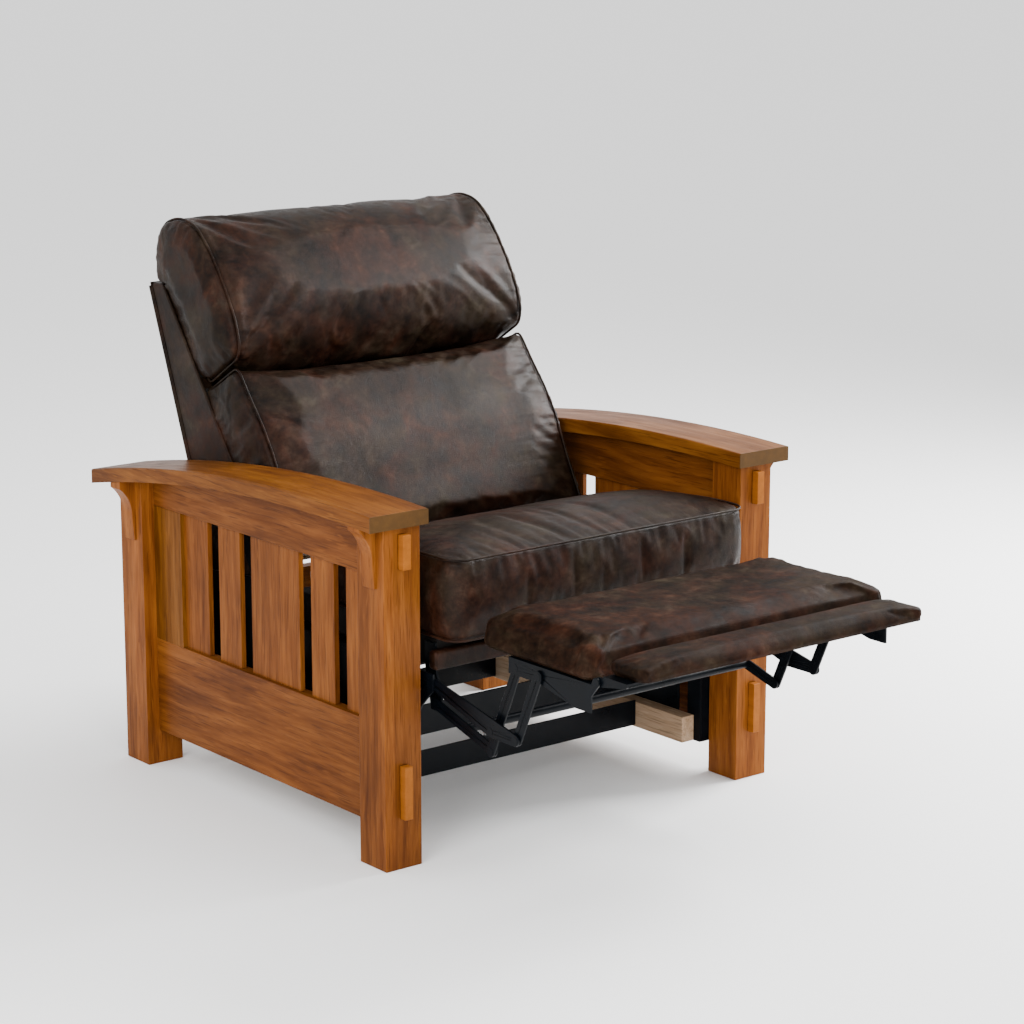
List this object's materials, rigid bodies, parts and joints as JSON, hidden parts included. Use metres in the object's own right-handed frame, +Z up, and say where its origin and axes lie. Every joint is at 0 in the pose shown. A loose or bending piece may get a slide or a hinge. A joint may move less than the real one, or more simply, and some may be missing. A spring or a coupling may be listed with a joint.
{
  "type": "reclining armchair",
  "caption": "Mission style reclining armchair with bowed slatted oak arms, leather cushions, a tilting back and a fold-out footrest with a front flap.",
  "frame": {"origin": "middle of the overall footprint on the floor, footrest out", "axes": "+Z up, the sitter faces -Y, +X to the sitter's left"},
  "size_m": [0.952, 1.402, 1.04],
  "materials": {
    "oak": "satin stained oak",
    "oak_arm": "satin stained oak",
    "hardwood": "plain unstained hardwood",
    "plywood": "plain plywood",
    "brown_leather": "satin mottled leather",
    "footrest_leather": "satin mottled leather",
    "webbing": "woven elastic",
    "spring_steel": "plain wire",
    "black_steel": "semi-gloss black paint"
  },
  "bodies": {
    "frame": {"base_pivots": "black_steel", "corbels": "oak", "front_cross_bar": "black_steel", "front_mounts": "black_steel", "guide_plates": "black_steel", "left_arm": "oak_arm", "left_base_rail": "hardwood", "left_front_post": "oak", "left_lower_rail": "oak", "left_mechanism_plate": "black_steel", "left_narrow_slats": "oak", "left_rear_post": "oak", "left_rear_stile": "oak", "left_upper_rail": "oak", "left_wide_slat": "oak", "rear_cross_bar": "black_steel", "rear_mounts": "black_steel", "rear_rail": "hardwood", "right_arm": "oak_arm", "right_base_rail": "hardwood", "right_front_post": "oak", "right_lower_rail": "oak", "right_mechanism_plate": "black_steel", "right_narrow_slats": "oak", "right_rear_post": "oak", "right_rear_stile": "oak", "right_upper_rail": "oak", "right_wide_slat": "oak", "seat_cushion": "brown_leather", "seat_frame": "hardwood", "seat_front_board": "brown_leather", "seat_springs": "spring_steel"},
    "back": {"right_back_board": "hardwood", "left_back_board": "hardwood", "back_rails": "hardwood", "back_webbing": "webbing", "outside_back": "brown_leather", "right_hinge_strap": "black_steel", "left_hinge_strap": "black_steel", "back_cushion": "brown_leather", "headrest_pillow": "brown_leather"},
    "main_links": {"right_main_link": "black_steel", "left_main_link": "black_steel", "main_link_pivots": "black_steel"},
    "front_links": {"right_front_link": "black_steel", "left_front_link": "black_steel"},
    "rear_links": {"right_rear_link": "black_steel", "left_rear_link": "black_steel"},
    "guide_links": {"right_guide_link": "black_steel", "left_guide_link": "black_steel", "guide_link_pivots": "black_steel", "torque_tube": "black_steel"},
    "footrest": {"footrest_board": "plywood", "footrest_pad": "footrest_leather", "right_footrest_bracket": "black_steel", "left_footrest_bracket": "black_steel", "footrest_pivots": "black_steel"},
    "flap": {"flap_board": "plywood", "flap_pad": "footrest_leather", "flap_arms": "black_steel"}
  },
  "joints": [
    {"name": "back_recline", "type": "hinge", "parent": "frame", "child": "back", "pos_m": [0, 0.335, 0.4], "axis": [1, 0, 0], "range_deg": [-12, 14]},
    {"name": "footrest_fold", "type": "hinge", "parent": "frame", "child": "main_links", "pos_m": [0, -0.185, 0.32], "axis": [1, 0, 0], "range_deg": [0, 90]},
    {"name": "guide_turn", "type": "hinge", "parent": "frame", "child": "guide_links", "pos_m": [0, -0.167, 0.276], "axis": [1, 0, 0], "range_deg": [0, 88.68]},
    {"name": "front_link_turn", "type": "hinge", "parent": "main_links", "child": "front_links", "pos_m": [0, -0.41164, 0.27183], "axis": [1, 0, 0], "range_deg": [-98.43, 0]},
    {"name": "rear_link_turn", "type": "hinge", "parent": "main_links", "child": "rear_links", "pos_m": [0, -0.34664, 0.27183], "axis": [1, 0, 0], "range_deg": [-98.43, 0]},
    {"name": "footrest_tilt", "type": "hinge", "parent": "front_links", "child": "footrest", "pos_m": [0, -0.46464, 0.39183], "axis": [1, 0, 0], "range_deg": [0, 98.43]},
    {"name": "flap_fold", "type": "hinge", "parent": "footrest", "child": "flap", "pos_m": [0, -0.605, 0.413], "axis": [1, 0, 0], "range_deg": [0, 90]}
  ],
  "couplings": [
    {"joint": "guide_turn", "follows": "footrest_fold", "ratio": 0.98524},
    {"joint": "front_link_turn", "follows": "footrest_fold", "ratio": -1.0936},
    {"joint": "rear_link_turn", "follows": "footrest_fold", "ratio": -1.0936},
    {"joint": "footrest_tilt", "follows": "footrest_fold", "ratio": 1.0936},
    {"joint": "flap_fold", "follows": "footrest_fold", "ratio": 1}
  ]
}
